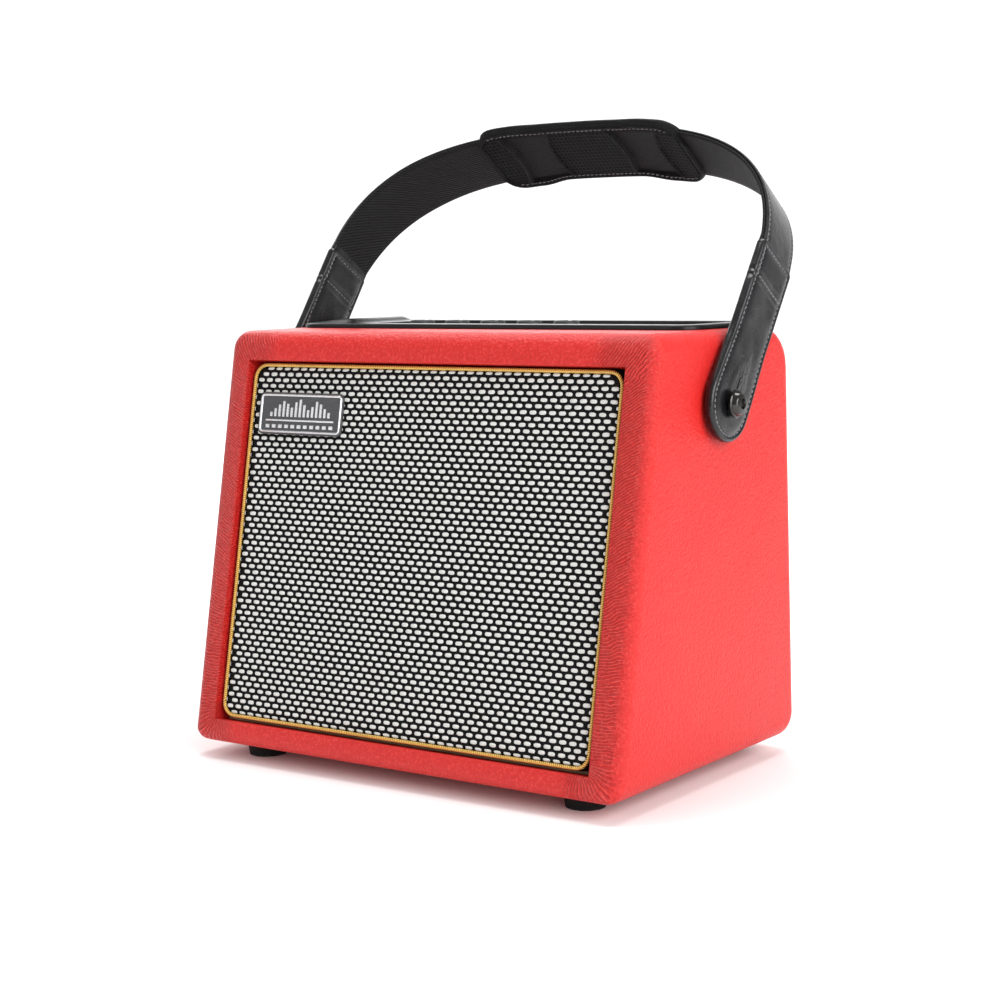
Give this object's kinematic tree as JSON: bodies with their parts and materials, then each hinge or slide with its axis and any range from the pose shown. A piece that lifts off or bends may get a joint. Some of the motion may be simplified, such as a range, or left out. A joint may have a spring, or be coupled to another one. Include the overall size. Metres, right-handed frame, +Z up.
{
  "type": "guitar amplifier",
  "caption": "Small leaning-front guitar practice amplifier in a red leatherette cabinet with a woven grille cloth, a top control panel, a back port and a padded carrying strap.",
  "frame": {"origin": "on the floor under the middle of the whole amplifier, strap included", "axes": "+Z up, the grille faces -Y, +X to the right when seen from the front"},
  "size_m": [0.2726, 0.1948, 0.3121],
  "materials": {
    "plywood": "raw plywood edge and face",
    "baffle_black": "board painted matt black",
    "back_panel_black": "fine textured black panel",
    "red_leatherette": "bright red vinyl leather cloth with a fine pebble grain, satin",
    "grille_frame_wood": "raw board under the cloth",
    "grille_cloth": "woven black cloth with rows of off-white oval floats",
    "gold_piping": "twisted gold cord",
    "badge_dark": "dark brushed plate",
    "badge_silver": "raised bright rim",
    "moulded_black": "moulded black",
    "socket_steel": "drawn steel shell",
    "nylon_webbing": "black nylon webbing with a diagonal rib",
    "strap_leather": "smooth glossy black leather, stitched edges",
    "pad_black": "moulded pad with mesh faces and a stitched rim",
    "black_nickel": "black nickel plate",
    "basket_steel": "pressed steel, grey-black paint",
    "plated_steel": "yellow zinc plate",
    "ferrite": "sintered ferrite",
    "copper_coil": "enamelled copper wire",
    "paper_cone": "pressed black paper pulp",
    "foam_surround": "rubber half roll",
    "spider_cloth": "resin-set cloth",
    "panel_gloss_black": "glossy black with a fine satin floor",
    "circuit_board": "green solder mask",
    "button_black": "satin black",
    "led_lens": "clear blue lens",
    "jack_black": "black moulding",
    "switch_black": "black moulding",
    "rocker_dark": "black rocker with a red dot",
    "battery_wrap": "blue shrink wrap",
    "lead_red": "red insulation",
    "foot_rubber": "moulded black rubber",
    "knob_black": "knurled black with a pale pointer line",
    "pot_steel": "drawn steel can",
    "shaft_steel": "turned shaft"
  },
  "bodies": {
    "cabinet": {"side_board_left": "plywood", "side_board_right": "plywood", "top_board": "plywood", "bottom_board": "plywood", "back_board": "plywood", "baffle_board": "baffle_black", "back_panel": "back_panel_black", "vinyl_covering": "red_leatherette", "grille_frame": "grille_frame_wood", "grille_cloth": "grille_cloth", "grille_piping": "gold_piping", "badge_plate": "badge_dark", "badge_rim": "badge_silver", "port_tube": "moulded_black", "charging_socket": "socket_steel", "strap_button_left": "black_nickel", "strap_button_right": "black_nickel", "speaker_basket": "basket_steel", "speaker_front_plate": "plated_steel", "speaker_yoke": "plated_steel", "speaker_magnet": "ferrite", "speaker_surround": "foam_surround", "speaker_spider": "spider_cloth", "control_panel": "panel_gloss_black", "control_board": "circuit_board", "status_led": "led_lens", "headphone_jack": "jack_black", "input_jack": "jack_black", "power_switch_housing": "switch_black", "battery_pack": "battery_wrap", "speaker_lead": "lead_red", "foot_front_left": "foot_rubber", "foot_front_right": "foot_rubber", "foot_back_left": "foot_rubber", "foot_back_right": "foot_rubber", "potentiometer_1": "pot_steel", "potentiometer_2": "pot_steel", "potentiometer_3": "pot_steel", "potentiometer_4": "pot_steel", "potentiometer_5": "pot_steel"},
    "strap": {"strap_webbing": "nylon_webbing", "strap_lining": "strap_leather", "strap_tab_left": "strap_leather", "strap_tab_right": "strap_leather", "shoulder_pad": "pad_black"},
    "cone_assembly": {"speaker_cone": "paper_cone", "voice_coil": "copper_coil", "dust_cap": "paper_cone"},
    "rocker": {"power_rocker": "rocker_dark"},
    "pairing_button": {"bluetooth_button": "button_black"},
    "control_1": {"knob_1": "knob_black", "pot_shaft_1": "shaft_steel"},
    "control_2": {"knob_2": "knob_black", "pot_shaft_2": "shaft_steel"},
    "control_3": {"knob_3": "knob_black", "pot_shaft_3": "shaft_steel"},
    "control_4": {"knob_4": "knob_black", "pot_shaft_4": "shaft_steel"},
    "control_5": {"knob_5": "knob_black", "pot_shaft_5": "shaft_steel"}
  },
  "joints": [
    {"name": "strap_swing", "type": "hinge", "parent": "cabinet", "child": "strap", "pos_m": [0, -0.0085, 0.1746], "axis": [1, 0, 0], "range_deg": [-75, 145]},
    {"name": "cone_stroke", "type": "slide", "parent": "cabinet", "child": "cone_assembly", "axis": [0, -0.9824, 0.1867], "range_m": [-0.0025, 0.0025], "stiffness_N_per_m": 1000, "deforming": ["speaker_surround", "speaker_spider"]},
    {"name": "rocker_tilt", "type": "hinge", "parent": "cabinet", "child": "rocker", "pos_m": [0.098, 0.016, 0.1961], "axis": [1, 0, 0], "range_deg": [0, 16]},
    {"name": "pairing_press", "type": "slide", "parent": "cabinet", "child": "pairing_button", "axis": [0, 0, -1], "range_m": [0, 0.001], "stiffness_N_per_m": 400, "springref_m": -0.0005},
    {"name": "knob_1_turn", "type": "hinge", "parent": "cabinet", "child": "control_1", "pos_m": [-0.062, 0.016, 0.2026], "axis": [0, 0, 1], "range_deg": [-150, 150]},
    {"name": "knob_2_turn", "type": "hinge", "parent": "cabinet", "child": "control_2", "pos_m": [-0.04, 0.016, 0.2026], "axis": [0, 0, 1], "range_deg": [-150, 150]},
    {"name": "knob_3_turn", "type": "hinge", "parent": "cabinet", "child": "control_3", "pos_m": [-0.018, 0.016, 0.2026], "axis": [0, 0, 1], "range_deg": [-150, 150]},
    {"name": "knob_4_turn", "type": "hinge", "parent": "cabinet", "child": "control_4", "pos_m": [0.004, 0.016, 0.2026], "axis": [0, 0, 1], "range_deg": [-150, 150]},
    {"name": "knob_5_turn", "type": "hinge", "parent": "cabinet", "child": "control_5", "pos_m": [0.026, 0.016, 0.2026], "axis": [0, 0, 1], "range_deg": [-150, 150]}
  ]
}
